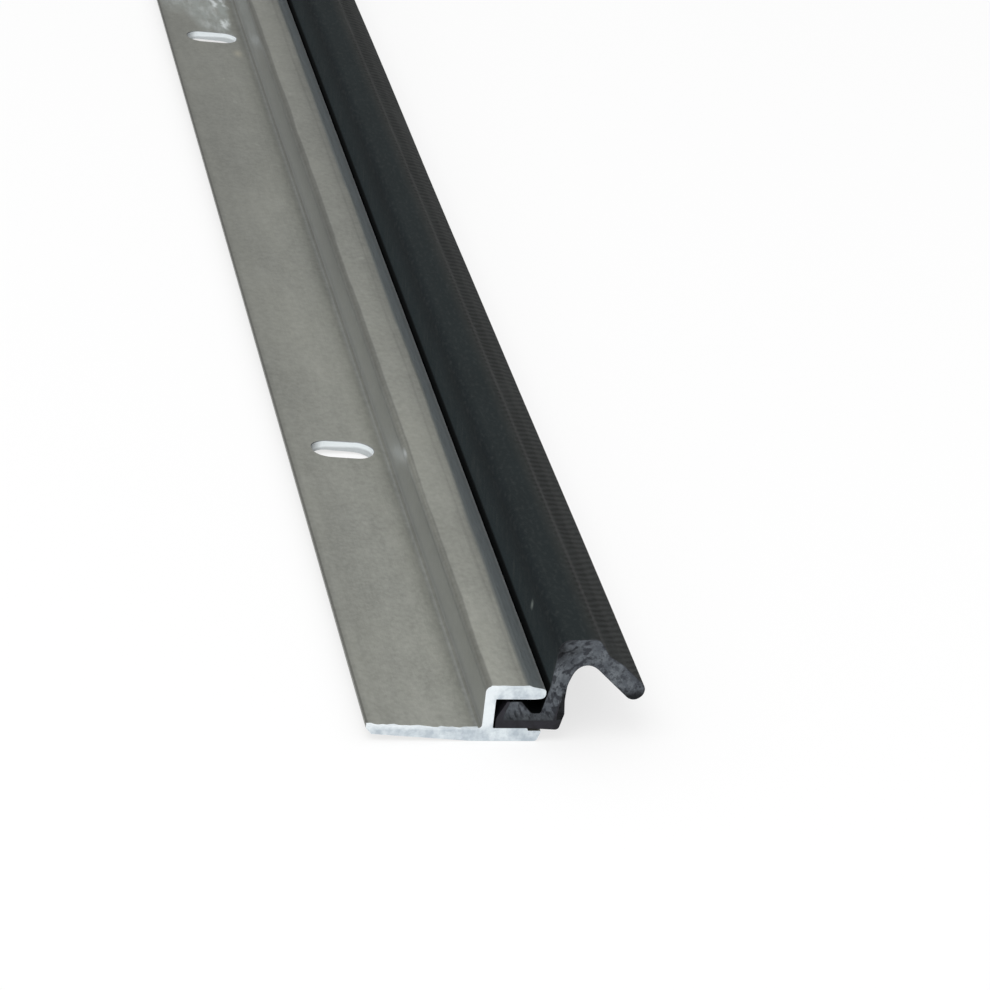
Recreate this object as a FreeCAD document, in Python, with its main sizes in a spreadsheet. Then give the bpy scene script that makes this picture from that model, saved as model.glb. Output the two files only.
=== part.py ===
import FreeCAD, Part
import Sketcher
import math
import os
import re

# Door weatherstrip: an extruded aluminium carrier whose channel grips an extruded sponge seal.
# X runs across the strip, from the leg that is screwed down to the lip that meets the door,
# Y runs along its length and Z stands up off its flat back.
# The section is drawn with its corner at the leg's free edge and then centred on the strip.

SIZES = {
    # Length and screw slots
    "strip_length": 914.4,
    "slot_length": 7.94,
    "slot_width": 4.76,
    "slot_inset": 7.3,
    "slot_pitch": 152.4,
    "first_slot": 70.3,
    # Leg that lies on the door stop, thinned and lifted a little towards its free edge
    "leg_width": 13.1,
    "leg_edge_thickness": 1.17,
    "leg_edge_lift": 0.88,
    "leg_edge_bevel": 0.7,
    "leg_top_level": 4.1,
    "leg_back_level": 1.1,
    # Channel that grips the seal
    "back_thickness": 1.64,
    "web_thickness": 1.25,
    "channel_height": 3.7,
    "flange_thickness": 1.64,
    "flange_reach": 5.6,
    "flange_bevel_length": 1.9,
    "flange_bevel_drop": 0.38,
    "flange_relief_length": 1.2,
    "flange_relief_rise": 0.15,
    "ledge_reach": 5.58,
    "ledge_step_length": 1.5,
    "ledge_step_depth": 0.32,
    "ledge_undercut": 0.45,
    # Rounded corners of the carrier
    "web_top_radius": 0.75,
    "web_foot_radius": 0.4,
    "flange_tip_radius": 0.55,
    "ledge_radius": 0.4,
    "sharp_edge_radius": 0.12,
    # Firm strip along the seal's foot
    "nose_clearance": 0.25,
    "anchor_thickness": 1.0,
    "nose_shoulder_height": 1.2,
    "nose_height": 3.34,
    "nose_lean": 1.08,
    "nose_wall": 0.84,
    "nose_inner_rise": 0.4,
    "nose_end": 0.3,
    "nose_radius": 1.2,
    "heel_drop": 0.18,
    "heel_reach": 0.34,
    "heel_radius": 0.45,
    "fin_height": 2.85,
    "fin_width": 0.28,
    "fin_cover": 0.48,
    "fin_lean": 0.57,
    # Sponge foot inside the channel
    "hump_clearance": 0.3,
    "hump_start": 1.75,
    "hump_width": 0.9,
    "hump_radius": 0.3,
    "valley_height": 1.92,
    "valley_start": 3.95,
    "valley_radius": 0.3,
    # Stem that climbs past the flange, with the arch and the lip
    "stem_gap": 0.4,
    "stem_foot_tuck": 0.76,
    "stem_head_lean": 0.53,
    "stem_thickness": 1.83,
    "stem_knee_radius": 8.0,
    "heel_height": 1.86,
    "heel_bulge": 0.16,
    "heel_bulge_radius": 0.3,
    "waist_height": 3.56,
    "arch_foot_height": 5.56,
    "arch_foot_lean": 0.08,
    "waist_radius": 3.0,
    "crown_height": 13.04,
    "crown_fall": 0.2,
    "crown_reach": 4.98,
    "crown_radius": 1.0,
    "shoulder_radius": 1.25,
    "arch_reach": 1.44,
    "arch_height": 11.0,
    "arch_radius": 1.85,
    # Lip, hollowed a little at its root and straight towards its rounded end
    "lip_root_reach": 1.43,
    "lip_root_drop": 2.2,
    "lip_root_radius": 1.5,
    "lip_bend_reach": 1.65,
    "lip_bend_drop": 0.99,
    "lip_bend_radius": 3.0,
    "lip_slope": 43.0,
    "lip_length": 4.65,
    "lip_thickness": 2.4,
    "lip_round": 0.49,
}

# Places that several corners share, from the sizes above
WEB_INNER = "(leg_width + web_thickness)"
FLANGE_TIP = "(leg_width + web_thickness + flange_reach)"
LEDGE_TIP = "(leg_width + web_thickness + ledge_reach)"
STEP = f"({LEDGE_TIP} - ledge_step_length - ledge_step_depth / 2)"
FLANGE_UNDER = "(back_thickness + channel_height)"
FLANGE_TOP = "(back_thickness + channel_height + flange_thickness)"
FOOT = f"({WEB_INNER} + nose_clearance)"
ANCHOR_TOP = "(back_thickness + anchor_thickness)"
HUMP_TOP = f"({FLANGE_UNDER} - hump_clearance)"
VALLEY = "(back_thickness + valley_height)"
STEM = f"({FLANGE_TIP} + stem_gap)"
WAIST = f"({STEM} + stem_thickness)"
HEEL = f"({WAIST} + heel_bulge)"
CROWN = f"({STEM} + crown_reach)"
LIP_ROOT_X = f"({CROWN} + lip_root_reach)"
LIP_ROOT_Z = "(crown_height - lip_root_drop)"
LIP_BEND_X = f"({LIP_ROOT_X} + lip_bend_reach)"
LIP_BEND_Z = f"({LIP_ROOT_Z} - lip_bend_drop)"
LIP_END_X = f"({LIP_BEND_X} + lip_length * cos(lip_slope))"
LIP_END_Z = f"({LIP_BEND_Z} - lip_length * sin(lip_slope))"
# The heel's side slopes from its bulge to its bottom corner, and the firm strip ends on it
HEEL_BOTTOM_X = f"({WAIST} - heel_reach)"
HEEL_BOTTOM_Z = "(back_thickness - heel_drop)"
HEEL_SLOPE = "((anchor_thickness + heel_drop) / (heel_height + heel_drop))"
ANCHOR_END = f"({HEEL_BOTTOM_X} + (heel_bulge + heel_reach) * {HEEL_SLOPE})"
# Half the strip's whole width, from the leg's free edge to the rounded end of the lip
LIP_PAST_END = "(lip_round * lip_thickness * (1 - cos(lip_slope) - sin(lip_slope)))"
HALF_WIDTH = f"(({LIP_END_X} + {LIP_PAST_END}) / 2)"

# Corners of the carrier's section, each as (name, across, up), anticlockwise from the leg's back
CARRIER_CORNERS = [
    ("leg_edge_back", "0", "leg_edge_lift"),
    ("leg_back_bend", "leg_width - leg_back_level", "0"),
    ("ledge_bottom", f"{LEDGE_TIP} - ledge_undercut", "0"),
    ("ledge_top", LEDGE_TIP, "back_thickness - ledge_step_depth"),
    ("step_low", f"{LEDGE_TIP} - ledge_step_length", "back_thickness - ledge_step_depth"),
    ("step_high", STEP, "back_thickness"),
    ("channel_floor", WEB_INNER, "back_thickness"),
    ("channel_roof", WEB_INNER, FLANGE_UNDER),
    ("flange_relief", f"{FLANGE_TIP} - flange_relief_length", FLANGE_UNDER),
    ("flange_tip_under", FLANGE_TIP, f"{FLANGE_UNDER} + flange_relief_rise"),
    ("flange_tip_top", FLANGE_TIP, f"{FLANGE_TOP} - flange_bevel_drop"),
    ("flange_bevel", f"{FLANGE_TIP} - flange_bevel_length", FLANGE_TOP),
    ("web_top", "leg_width", FLANGE_TOP),
    ("web_foot", "leg_width", "back_thickness"),
    ("leg_top_bend", "leg_width - leg_top_level", "back_thickness"),
    ("leg_edge_top", "0", "leg_edge_lift + leg_edge_thickness"),
]

# Corners that the sponge shares with the firm strip, from the hump's side round to the fin
NOSE_TOP = ("nose_top", f"{FOOT} + nose_lean + nose_end", "back_thickness + nose_height")
NOSE_INNER = (
    "nose_inner",
    f"{FOOT} + nose_wall",
    "back_thickness + nose_shoulder_height + nose_inner_rise",
)
NOSE_CORNER = ("nose_corner", f"{FOOT} + nose_wall", ANCHOR_TOP)
FIN_LEFT = ("fin_left", f"{WAIST} - fin_cover - fin_lean", ANCHOR_TOP)
FIN_TIP = ("fin_tip", f"{WAIST} - fin_cover", f"{ANCHOR_TOP} + fin_height")
FIN_RIGHT = ("fin_right", f"{WAIST} - fin_cover - fin_lean + fin_width", ANCHOR_TOP)
ANCHOR_SIDE = ("anchor_side", ANCHOR_END, ANCHOR_TOP)

SPONGE_CORNERS = [
    NOSE_CORNER,
    FIN_LEFT,
    FIN_TIP,
    FIN_RIGHT,
    ANCHOR_SIDE,
    ("heel", HEEL, "back_thickness + heel_height"),
    ("waist", WAIST, "back_thickness + waist_height"),
    ("arch_foot", f"{WAIST} + arch_foot_lean", "back_thickness + arch_foot_height"),
    ("arch", f"{WAIST} + arch_reach", "arch_height"),
    (
        "lip_inner",
        f"{LIP_END_X} - lip_thickness * sin(lip_slope)",
        f"{LIP_END_Z} - lip_thickness * cos(lip_slope)",
    ),
    ("lip_outer", LIP_END_X, LIP_END_Z),
    ("lip_bend", LIP_BEND_X, LIP_BEND_Z),
    ("lip_root", LIP_ROOT_X, LIP_ROOT_Z),
    ("crown", CROWN, "crown_height"),
    ("shoulder", f"{STEM} + stem_head_lean", "crown_height - crown_fall"),
    ("knee", STEM, FLANGE_TOP),
    ("valley_end", f"{STEM} - stem_foot_tuck", VALLEY),
    ("valley_start", f"{FOOT} + valley_start", VALLEY),
    ("hump_end", f"{FOOT} + hump_start + hump_width", HUMP_TOP),
    ("hump_start", f"{FOOT} + hump_start", HUMP_TOP),
    NOSE_TOP,
    NOSE_INNER,
]

ANCHOR_CORNERS = [
    ("nose_bottom", FOOT, "back_thickness"),
    ("ledge_edge", STEP, "back_thickness"),
    ("heel_bottom", HEEL_BOTTOM_X, HEEL_BOTTOM_Z),
    ANCHOR_SIDE,
    FIN_RIGHT,
    FIN_TIP,
    FIN_LEFT,
    NOSE_CORNER,
    NOSE_INNER,
    NOSE_TOP,
    ("nose_end", f"{FOOT} + nose_lean", "back_thickness + nose_height"),
    ("nose_shoulder", FOOT, "back_thickness + nose_shoulder_height"),
]


def bound(text):
    """The expression with each size read from the sheet."""
    return re.sub(r"[a-z]+_[a-z_]+", lambda word: "Sizes." + word.group(0), text)


def make_sheet(doc):
    sheet = doc.addObject("Spreadsheet::Sheet", "Sizes")
    for row, (alias, value) in enumerate(SIZES.items(), start=1):
        sheet.set(f"A{row}", alias)
        sheet.set(f"B{row}", str(value))
        sheet.setAlias(f"B{row}", alias)
    doc.recompute()
    return sheet


def origin_feature(body, role):
    return next(item for item in body.Origin.OriginFeatures if item.Role == role)


def new_sketch(body, name, plane):
    sketch = body.newObject("Sketcher::SketchObject", name)
    sketch.AttachmentSupport = [(origin_feature(body, plane), "")]
    sketch.MapMode = "FlatFace"
    return sketch


def hold(sketch, kind, parts, name, expression):
    """Adds a named dimension and binds it to the sheet."""
    value = sketch.evalExpression(bound(expression))
    index = sketch.addConstraint(Sketcher.Constraint(kind, *parts, value))
    sketch.renameConstraint(index, name)
    sketch.setExpression(f"Constraints.{name}", bound(expression))


def section_sketch(body, name, corners):
    """Closed outline of straight sides, each corner placed by its two expressions."""
    sketch = new_sketch(body, name, "XZ_Plane")
    places = [
        FreeCAD.Vector(sketch.evalExpression(bound(across)), sketch.evalExpression(bound(up)), 0)
        for _, across, up in corners
    ]
    count = len(corners)
    for index in range(count):
        sketch.addGeometry(Part.LineSegment(places[index], places[(index + 1) % count]))
    for index in range(count):
        sketch.addConstraint(Sketcher.Constraint("Coincident", index, 2, (index + 1) % count, 1))
    for index, (corner, across, up) in enumerate(corners):
        if across == "0":
            sketch.addConstraint(Sketcher.Constraint("PointOnObject", index, 1, -2))
        else:
            hold(sketch, "DistanceX", (-1, 1, index, 1), corner + "_x", across)
        if up == "0":
            sketch.addConstraint(Sketcher.Constraint("PointOnObject", index, 1, -1))
        else:
            hold(sketch, "DistanceY", (-1, 1, index, 1), corner + "_z", up)
    return sketch


def extrude(doc, body, sketch, corners):
    """Pads the section along the strip, half to each side of the origin."""
    pad = body.newObject("PartDesign::Pad", body.Label + "_extrusion")
    pad.Profile = sketch
    pad.SideType = "Symmetric"
    pad.setExpression("Length", bound("strip_length"))
    doc.recompute()
    places = {corner: sketch.getPoint(index, 1) for index, (corner, _, _) in enumerate(corners)}
    return pad, places


def long_edges(shape, places, names):
    """Names of the edges that run along the strip through the given corners of its section."""
    near = 1e-4
    found = []
    for name in names:
        corner = places[name]
        for index, edge in enumerate(shape.Edges, start=1):
            ends = [vertex.Point for vertex in edge.Vertexes]
            if all(abs(end.x - corner.x) < near and abs(end.z - corner.y) < near for end in ends):
                found.append(f"Edge{index}")
    if len(found) != len(names):
        raise ValueError(f"{len(found)} edges found at the {len(names)} corners {names}")
    return found


def dress(doc, body, base, places, kind, name, corners, size):
    """Rounds or bevels the long edges at these corners, and returns the new tip."""
    edges = long_edges(base.Shape, places, corners)
    feature = body.newObject("PartDesign::" + kind, f"{body.Label}_{name}")
    feature.Base = (base, edges)
    feature.setExpression("Radius" if kind == "Fillet" else "Size", bound(size))
    doc.recompute()
    return feature


def new_body(doc, name):
    body = doc.addObject("PartDesign::Body", name)
    body.Label = name
    body.setExpression("Placement.Base.x", "-" + bound(HALF_WIDTH))
    return body


def slot_sketch(body):
    """One screw slot with round ends, lying across the leg, seen from above."""
    sketch = new_sketch(body, "slot_outline", "XY_Plane")
    radius = sketch.evalExpression(bound("slot_width / 2"))
    reach = sketch.evalExpression(bound("(slot_length - slot_width) / 2"))
    middle_x = sketch.evalExpression(bound("slot_inset"))
    middle_y = sketch.evalExpression(bound("first_slot - strip_length / 2"))
    left = FreeCAD.Vector(middle_x - reach, middle_y, 0)
    right = FreeCAD.Vector(middle_x + reach, middle_y, 0)
    side = FreeCAD.Vector(0, radius, 0)
    up = FreeCAD.Vector(0, 0, 1)
    quarter = math.pi / 2
    right_circle = Part.Circle(right, up, radius)
    left_circle = Part.Circle(left, up, radius)
    right_end = sketch.addGeometry(Part.ArcOfCircle(right_circle, -quarter, quarter))
    far_side = sketch.addGeometry(Part.LineSegment(right + side, left + side))
    left_end = sketch.addGeometry(Part.ArcOfCircle(left_circle, quarter, 3 * quarter))
    near_side = sketch.addGeometry(Part.LineSegment(left - side, right - side))
    sketch.addConstraint(Sketcher.Constraint("Tangent", right_end, 2, far_side, 1))
    sketch.addConstraint(Sketcher.Constraint("Tangent", far_side, 2, left_end, 1))
    sketch.addConstraint(Sketcher.Constraint("Tangent", left_end, 2, near_side, 1))
    sketch.addConstraint(Sketcher.Constraint("Tangent", near_side, 2, right_end, 1))
    sketch.addConstraint(Sketcher.Constraint("Horizontal", far_side))
    hold(sketch, "Radius", (right_end,), "end_radius", "slot_width / 2")
    hold(sketch, "DistanceX", (left_end, 3, right_end, 3), "centres", "slot_length - slot_width")
    left_centre = "slot_inset - (slot_length - slot_width) / 2"
    hold(sketch, "DistanceX", (-1, 1, left_end, 3), "inset", left_centre)
    hold(sketch, "DistanceY", (left_end, 3, -1, 1), "from_middle", "strip_length / 2 - first_slot")
    return sketch


def cut_slots(doc, body):
    """Cuts the first slot through the leg and repeats it along the strip."""
    sketch = slot_sketch(body)
    solid = body.Shape.Volume
    slot = body.newObject("PartDesign::Pocket", "slot")
    slot.Profile = sketch
    slot.Type = "ThroughAll"
    slot.SideType = "Symmetric"
    doc.recompute()
    one_slot = solid - slot.Shape.Volume
    row = body.newObject("PartDesign::LinearPattern", "slot_row")
    row.Originals = [slot]
    row.Direction = (origin_feature(body, "Y_Axis"), [""])
    row.Mode = "Spacing"
    row.setExpression("Offset", bound("slot_pitch"))
    row.setExpression(
        "Occurrences",
        bound("floor((strip_length - first_slot - slot_width) / slot_pitch) + 1"),
    )
    body.Tip = row
    doc.recompute()
    cut = solid - row.Shape.Volume
    small = 0.01 * one_slot
    if one_slot <= 0 or abs(cut - one_slot * row.Occurrences) > small:
        raise ValueError(f"{row.Occurrences} slots take {cut} mm3, one takes {one_slot} mm3")


def make_carrier(doc):
    """Aluminium extrusion: the slotted leg, and the channel that grips the seal."""
    body = new_body(doc, "carrier")
    sketch = section_sketch(body, "carrier_section", CARRIER_CORNERS)
    tip, places = extrude(doc, body, sketch, CARRIER_CORNERS)
    leg_edge = ["leg_edge_back"]
    tip = dress(doc, body, tip, places, "Chamfer", "edge_bevel", leg_edge, "leg_edge_bevel")
    tip = dress(doc, body, tip, places, "Fillet", "web_top", ["web_top"], "web_top_radius")
    tip = dress(doc, body, tip, places, "Fillet", "web_foot", ["web_foot"], "web_foot_radius")
    flange_tip = ["flange_tip_under", "flange_tip_top"]
    tip = dress(doc, body, tip, places, "Fillet", "flange_tip", flange_tip, "flange_tip_radius")
    tip = dress(doc, body, tip, places, "Fillet", "ledge", ["ledge_bottom"], "ledge_radius")
    sharp = ["ledge_top", "channel_floor", "channel_roof", "leg_edge_top"]
    dress(doc, body, tip, places, "Fillet", "sharp_edges", sharp, "sharp_edge_radius")
    cut_slots(doc, body)
    return body


def make_sponge_seal(doc):
    """Sponge extrusion: a humped foot in the channel, the stem, the arch and the drooping lip."""
    body = new_body(doc, "sponge_seal")
    sketch = section_sketch(body, "sponge_section", SPONGE_CORNERS)
    tip, places = extrude(doc, body, sketch, SPONGE_CORNERS)
    rounds = [
        ("hump", ["hump_start", "hump_end"], "hump_radius"),
        ("valley", ["valley_start", "valley_end"], "valley_radius"),
        ("knee", ["knee"], "stem_knee_radius"),
        ("shoulder", ["shoulder"], "shoulder_radius"),
        ("crown", ["crown"], "crown_radius"),
        ("lip_root", ["lip_root"], "lip_root_radius"),
        ("lip_bend", ["lip_bend"], "lip_bend_radius"),
        ("lip_end", ["lip_outer", "lip_inner"], "lip_round * lip_thickness"),
        ("arch", ["arch"], "arch_radius"),
        ("waist", ["waist", "arch_foot"], "waist_radius"),
        ("heel", ["heel"], "heel_bulge_radius"),
    ]
    for name, corners, radius in rounds:
        tip = dress(doc, body, tip, places, "Fillet", name, corners, radius)
    return body


def make_anchor_strip(doc):
    """Firm strip along the seal's foot: its base, the nose behind the hump and a fin up the stem."""
    body = new_body(doc, "anchor_strip")
    sketch = section_sketch(body, "anchor_section", ANCHOR_CORNERS)
    tip, places = extrude(doc, body, sketch, ANCHOR_CORNERS)
    tip = dress(doc, body, tip, places, "Fillet", "nose", ["nose_shoulder"], "nose_radius")
    tip = dress(doc, body, tip, places, "Fillet", "heel_bottom", ["heel_bottom"], "heel_radius")
    dress(doc, body, tip, places, "Fillet", "nose_edge", ["nose_bottom"], "sharp_edge_radius")
    return body


def check(doc, bodies):
    """Stops unless every feature was rebuilt and every sub-part is one valid solid."""
    for item in doc.Objects:
        if "Invalid" in item.State or "Error" in item.State:
            raise ValueError(f"{item.Name} wasn't rebuilt: {item.State}")
    for body in bodies:
        shape = body.Shape
        if shape.isNull() or not shape.isValid() or len(shape.Solids) != 1:
            raise ValueError(f"{body.Label} is not one valid solid")


def main():
    doc = FreeCAD.newDocument("DoorWeatherstrip")
    make_sheet(doc)
    bodies = [make_carrier(doc), make_sponge_seal(doc), make_anchor_strip(doc)]
    doc.recompute()
    check(doc, bodies)
    os.makedirs("parts", exist_ok=True)
    for body in bodies:
        body.Shape.exportStep(f"parts/{body.Label}.step")
        box = body.Shape.BoundBox
        print(
            f"{body.Label}: {body.Shape.Volume:.1f} mm3,"
            f" x {box.XMin:.3f} to {box.XMax:.3f}, y {box.YMin:.3f} to {box.YMax:.3f},"
            f" z {box.ZMin:.3f} to {box.ZMax:.3f}"
        )


main()
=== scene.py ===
import math
import random

import bmesh
import bpy
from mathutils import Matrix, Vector


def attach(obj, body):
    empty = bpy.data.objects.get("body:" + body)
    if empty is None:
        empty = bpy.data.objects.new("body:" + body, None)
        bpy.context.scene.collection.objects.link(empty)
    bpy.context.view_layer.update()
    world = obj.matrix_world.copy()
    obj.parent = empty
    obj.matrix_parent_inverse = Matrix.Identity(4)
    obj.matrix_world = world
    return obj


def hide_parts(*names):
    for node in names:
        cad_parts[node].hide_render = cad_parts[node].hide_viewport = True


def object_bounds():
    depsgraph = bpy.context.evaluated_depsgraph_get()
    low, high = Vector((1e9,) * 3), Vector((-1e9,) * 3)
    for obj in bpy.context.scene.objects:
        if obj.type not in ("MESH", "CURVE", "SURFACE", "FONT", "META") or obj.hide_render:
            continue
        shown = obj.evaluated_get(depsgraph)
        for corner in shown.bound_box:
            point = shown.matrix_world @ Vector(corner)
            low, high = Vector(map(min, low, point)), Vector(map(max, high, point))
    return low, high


# Door weatherstrip seen along its length from its sawn near end.
# Places and sizes are in millimetres, and mm turns them into Blender's metres.
# A band is written as low, high and how soft its edges are. A fade is written as start and end.
# A wander, which makes an edge uneven, is written as waves per mm, seed and reach.

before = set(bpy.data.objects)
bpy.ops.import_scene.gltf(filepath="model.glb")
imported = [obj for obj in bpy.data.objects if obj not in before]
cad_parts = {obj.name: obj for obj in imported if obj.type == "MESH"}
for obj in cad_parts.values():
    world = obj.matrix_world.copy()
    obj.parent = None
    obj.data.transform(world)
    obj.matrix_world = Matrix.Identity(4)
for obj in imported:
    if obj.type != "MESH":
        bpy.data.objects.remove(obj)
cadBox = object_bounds()
print("frame loaded:", ", ".join(sorted(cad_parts)))

mm = 0.001
strip = {
    "near": cadBox[0].y / mm,  # the sawn end that faces the camera
    "far": cadBox[1].y / mm,
    "arcStep": 0.15,  # longest straight piece of a rounded corner
    "gridStart": 0.47,  # first line of a grid, as a share of its pitch
    "rimHold": 0.15,  # how much of the roughness reaches the outline of a cut
}
strip["length"] = strip["far"] - strip["near"]


# Small helpers for working in edit mode

def clearSelection():
    if bpy.context.object and bpy.context.object.mode != "OBJECT":
        bpy.ops.object.mode_set(mode="OBJECT")
    bpy.ops.object.select_all(action="DESELECT")


def pick(piece):
    clearSelection()
    piece.select_set(True)
    bpy.context.view_layer.objects.active = piece


def openMesh(piece):
    pick(piece)
    bpy.ops.object.mode_set(mode="EDIT")
    bpy.ops.mesh.select_all(action="DESELECT")


def closeMesh():
    bpy.ops.object.mode_set(mode="OBJECT")


def selectParts(piece, mode, wanted):
    bpy.ops.mesh.select_mode(type=mode)
    bpy.ops.mesh.select_all(action="DESELECT")
    mesh = bmesh.from_edit_mesh(piece.data)
    for part in {"VERT": mesh.verts, "EDGE": mesh.edges}[mode]:
        if wanted(part):
            part.select_set(True)
    mesh.select_flush_mode()
    bmesh.update_edit_mesh(piece.data)


def selectPoints(piece, wanted):
    selectParts(piece, "VERT", lambda point: wanted(point.co / mm))


def selectEdges(piece, wanted):
    selectParts(piece, "EDGE", lambda edge: wanted(edge.verts[0].co / mm, edge.verts[1].co / mm))


def near(a, b, gap=0.01):
    return abs(a - b) < gap


# Drawing a section and running it along the strip

def traceSection(name, corners):
    clearSelection()
    bpy.ops.mesh.primitive_plane_add(size=mm)
    piece = bpy.context.object
    piece.name = name
    piece.data.name = name
    bpy.ops.object.mode_set(mode="EDIT")
    bpy.ops.mesh.select_mode(type="VERT")
    bpy.ops.mesh.select_all(action="SELECT")
    bpy.ops.mesh.merge(type="CENTER")
    x, z, _ = corners[0]
    bpy.ops.transform.translate(value=(x * mm, strip["near"] * mm, z * mm))
    for (x0, z0, _), (x1, z1, _) in zip(corners, corners[1:]):
        step = ((x1 - x0) * mm, 0, (z1 - z0) * mm)
        bpy.ops.mesh.extrude_vertices_move(TRANSFORM_OT_translate={"value": step})
    ends = (corners[0], corners[-1])
    selectPoints(piece, lambda at: any(near(at.x, x) and near(at.z, z) for x, z, _ in ends))
    bpy.ops.mesh.edge_face_add()
    bpy.ops.mesh.select_all(action="SELECT")
    bpy.ops.mesh.edge_face_add()
    for index, corner in enumerate(corners):
        if corner[2]:
            roundCorner(piece, corners, index)
    closeMesh()
    return piece


def roundCorner(piece, corners, index):
    x, z, radius = corners[index]
    before = Vector(corners[index - 1][:2])
    after = Vector(corners[(index + 1) % len(corners)][:2])
    here = Vector((x, z))
    turn = (here - before).angle(after - here)
    width = radius * math.tan(turn / 2)
    steps = max(3, round(radius * turn / strip["arcStep"]))
    if radius < 0:  # a minus sign means a straight bevel of that size
        width = -radius
        steps = 1
    selectPoints(piece, lambda at: near(at.x, x) and near(at.z, z))
    bpy.ops.mesh.bevel(affect="VERTICES", offset=width * mm, segments=steps, profile=0.5)


def gridSection(piece, pitch):
    # a grid over the section, fine enough for the roughness of a cut
    openMesh(piece)
    for axisIndex in (0, 2):
        values = [point.co[axisIndex] for point in piece.data.vertices]
        normal = [0, 0, 0]
        normal[axisIndex] = 1
        count = int((max(values) - min(values)) / (pitch * mm))
        for line in range(count + 1):
            spot = [0, strip["near"] * mm, 0]
            spot[axisIndex] = min(values) + (line + strip["gridStart"]) * pitch * mm
            bpy.ops.mesh.select_all(action="SELECT")
            bpy.ops.mesh.bisect(plane_co=spot, plane_no=normal)
    closeMesh()


def runAlong(piece, rings):
    openMesh(piece)
    bpy.ops.mesh.select_all(action="SELECT")
    bpy.ops.mesh.extrude_region_move(TRANSFORM_OT_translate={"value": (0, strip["length"] * mm, 0)})
    bpy.ops.mesh.select_all(action="SELECT")
    bpy.ops.mesh.normals_make_consistent(inside=False)
    if rings:
        selectEdges(piece, lambda a, b: abs(a.y - b.y) > 1)
        bpy.ops.mesh.subdivide(number_cuts=rings)
    closeMesh()


def coverPiece(piece, skin, cut, angle):
    # the skin all along, and the cut's material on both ends
    piece.data.materials.append(skin)
    piece.data.materials.append(cut)
    for face in piece.data.polygons:
        if abs(face.normal.y) > 0.9:
            face.material_index = 1
    pick(piece)
    bpy.ops.object.shade_smooth_by_angle(angle=math.radians(angle))


def applyModifier(piece, modifier):
    pick(piece)
    bpy.ops.object.modifier_apply(modifier=modifier.name)


# Soft pieces are cut by hand, so their ends are pressed in a little by textures

def pressIn(piece, group, direction, strength, texture):
    press = piece.modifiers.new("press", "DISPLACE")
    press.vertex_group = group
    press.direction = direction
    press.texture_coords = "LOCAL"
    press.texture = texture
    press.mid_level = 0
    press.strength = strength * mm
    applyModifier(piece, press)


def cellTexture(name, size, low, high):
    texture = bpy.data.textures.new(name, "VORONOI")
    texture.noise_scale = size * mm
    texture.use_color_ramp = True
    ramp = texture.color_ramp
    ramp.elements[0].position = low
    ramp.elements[0].color = (1, 1, 1, 1)
    ramp.elements[1].position = high
    ramp.elements[1].color = (0, 0, 0, 1)
    return texture


def unevenTexture(name, size):
    texture = bpy.data.textures.new(name, "CLOUDS")
    texture.noise_scale = size * mm
    return texture


def roughenCuts(piece, layers):
    rim = set()
    for edge in piece.data.edges:
        ends = [piece.data.vertices[index].co.y for index in edge.vertices]
        if abs(ends[0] - ends[1]) > mm:
            rim.update(edge.vertices)
    outline = piece.data.attributes.new("rim", "FLOAT", "POINT")
    for index in rim:
        outline.data[index].value = 1
    for group, end, inward in (("nearCut", strip["near"], 1), ("farCut", strip["far"], -1)):
        piece.vertex_groups.new(name=group)
        for point in piece.data.vertices:
            if near(point.co.y / mm, end):
                weight = strip["rimHold"] if point.index in rim else 1
                piece.vertex_groups[group].add([point.index], weight, "REPLACE")
        for texture, depth in layers:
            pressIn(piece, group, "Y", inward * depth, texture)


# Helpers for materials

def newMaterial(name):
    material = bpy.data.materials.new(name)
    material.use_nodes = True
    return material, material.node_tree, material.node_tree.nodes["Principled BSDF"]


def setInput(tree, node, key, value):
    if isinstance(value, bpy.types.NodeSocket):
        tree.links.new(value, node.inputs[key])
    else:
        node.inputs[key].default_value = value


def addNode(tree, kind, inputs=None, **settings):
    node = tree.nodes.new(kind)
    for key, value in settings.items():
        setattr(node, key, value)
    for key, value in (inputs or {}).items():
        setInput(tree, node, key, value)
    return node


def objectPlace(tree):
    return addNode(tree, "ShaderNodeTexCoord").outputs["Object"]


def axes(tree):
    outputs = addNode(tree, "ShaderNodeSeparateXYZ", {0: objectPlace(tree)}).outputs
    return outputs["X"], outputs["Y"], outputs["Z"]


def maths(tree, operation, a, b=0.0):
    return addNode(tree, "ShaderNodeMath", {0: a, 1: b}, operation=operation).outputs[0]


def product(tree, first, *others):
    for other in others:
        first = maths(tree, "MULTIPLY", first, other)
    return first


def spread(tree, value, low, high, outLow=0.0, outHigh=1.0):
    inputs = {"Value": value, "From Min": low, "From Max": high, "To Min": outLow, "To Max": outHigh}
    return addNode(tree, "ShaderNodeMapRange", inputs).outputs["Result"]


def fade(tree, value, start, end, first=0.0, last=1.0):
    return spread(tree, value, start * mm, end * mm, first, last)


def band(tree, value, low, high, soft):
    rise = fade(tree, value, low - soft, low + soft)
    fall = fade(tree, value, high - soft, high + soft, 1.0, 0.0)
    return product(tree, rise, fall)


def fieldMask(tree, field):
    # a soft-edged field on the strip, seen from above
    x, y, _ = axes(tree)
    return product(tree, band(tree, x, *field["x"]), band(tree, y, *field["y"]))


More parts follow.
